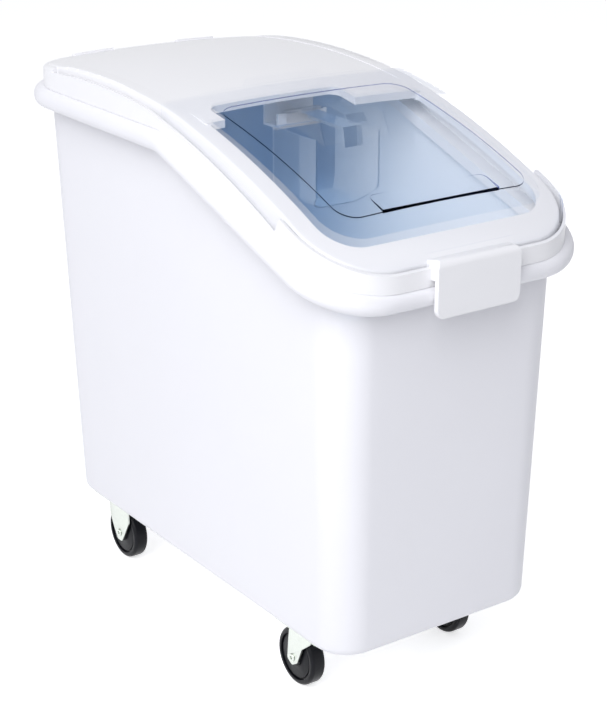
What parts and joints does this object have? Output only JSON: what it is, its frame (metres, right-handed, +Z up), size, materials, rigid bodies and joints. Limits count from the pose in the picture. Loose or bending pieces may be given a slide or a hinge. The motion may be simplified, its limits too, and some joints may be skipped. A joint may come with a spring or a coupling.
{
  "type": "rolling ingredient bin",
  "caption": "Slant-front rolling ingredient bin with a lift-off lid frame, a clear sliding lid over the access opening, a hanging scoop, and swivel and rigid casters.",
  "frame": {"origin": "on the floor under the middle of the bin, where the wheels stand", "axes": "+Z up, -Y towards the slanted front with the tab, +X to the right of someone facing along +Y"},
  "size_m": [0.394, 0.74, 0.7133],
  "materials": {
    "white_plastic": "moulded white polyethylene, satin",
    "clear_plastic": "clear polycarbonate",
    "zinc_steel": "zinc-plated pressed steel",
    "black_rubber": "hard black rubber",
    "bright_steel": "bright steel",
    "nylon": "nylon sleeve"
  },
  "bodies": {
    "bin": {"tub": "white_plastic", "front_left_plate": "zinc_steel", "front_left_kingpin": "zinc_steel", "front_left_balls": "bright_steel", "front_left_plate_bolts": "bright_steel", "front_left_plate_nuts": "bright_steel", "front_right_plate": "zinc_steel", "front_right_kingpin": "zinc_steel", "front_right_balls": "bright_steel", "front_right_plate_bolts": "bright_steel", "front_right_plate_nuts": "bright_steel", "rear_left_fork": "zinc_steel", "rear_left_bushing": "nylon", "rear_left_axle_bolt": "bright_steel", "rear_left_axle_nut": "bright_steel", "rear_left_plate_bolts": "bright_steel", "rear_left_plate_nuts": "bright_steel", "rear_right_fork": "zinc_steel", "rear_right_bushing": "nylon", "rear_right_axle_bolt": "bright_steel", "rear_right_axle_nut": "bright_steel", "rear_right_plate_bolts": "bright_steel", "rear_right_plate_nuts": "bright_steel"},
    "lid": {"lid_frame": "white_plastic", "scoop_hook": "white_plastic"},
    "sliding_lid": {"clear_lid": "clear_plastic"},
    "hung_scoop": {"scoop": "clear_plastic"},
    "front_left_swivel": {"front_left_fork": "zinc_steel", "front_left_bushing": "nylon", "front_left_axle_bolt": "bright_steel", "front_left_axle_nut": "bright_steel"},
    "front_left_wheel": {"front_left_wheel": "black_rubber"},
    "front_right_swivel": {"front_right_fork": "zinc_steel", "front_right_bushing": "nylon", "front_right_axle_bolt": "bright_steel", "front_right_axle_nut": "bright_steel"},
    "front_right_wheel": {"front_right_wheel": "black_rubber"},
    "rear_left_wheel": {"rear_left_wheel": "black_rubber"},
    "rear_right_wheel": {"rear_right_wheel": "black_rubber"}
  },
  "joints": [
    {"name": "lid_lift", "type": "slide", "parent": "bin", "child": "lid", "axis": [0, 0, 1], "range_m": [0, 0.07]},
    {"name": "lid_slide", "type": "hinge", "parent": "lid", "child": "sliding_lid", "pos_m": [0, 0.218, -0.4765], "axis": [-1, 0, 0], "range_deg": [0, 12.4]},
    {"name": "scoop_lift", "type": "slide", "parent": "lid", "child": "hung_scoop", "axis": [0, 0, 1], "range_m": [0, 0.01]},
    {"name": "front_left_swivel", "type": "hinge", "parent": "bin", "child": "front_left_swivel", "pos_m": [-0.115, -0.22, 0.085], "axis": [0, 0, 1], "continuous": true},
    {"name": "front_left_spin", "type": "hinge", "parent": "front_left_swivel", "child": "front_left_wheel", "pos_m": [-0.115, -0.1925, 0.0375], "axis": [1, 0, 0], "continuous": true},
    {"name": "front_right_swivel", "type": "hinge", "parent": "bin", "child": "front_right_swivel", "pos_m": [0.115, -0.22, 0.085], "axis": [0, 0, 1], "continuous": true},
    {"name": "front_right_spin", "type": "hinge", "parent": "front_right_swivel", "child": "front_right_wheel", "pos_m": [0.115, -0.1925, 0.0375], "axis": [1, 0, 0], "continuous": true},
    {"name": "rear_left_spin", "type": "hinge", "parent": "bin", "child": "rear_left_wheel", "pos_m": [-0.115, 0.234, 0.0375], "axis": [1, 0, 0], "continuous": true},
    {"name": "rear_right_spin", "type": "hinge", "parent": "bin", "child": "rear_right_wheel", "pos_m": [0.115, 0.234, 0.0375], "axis": [1, 0, 0], "continuous": true}
  ]
}
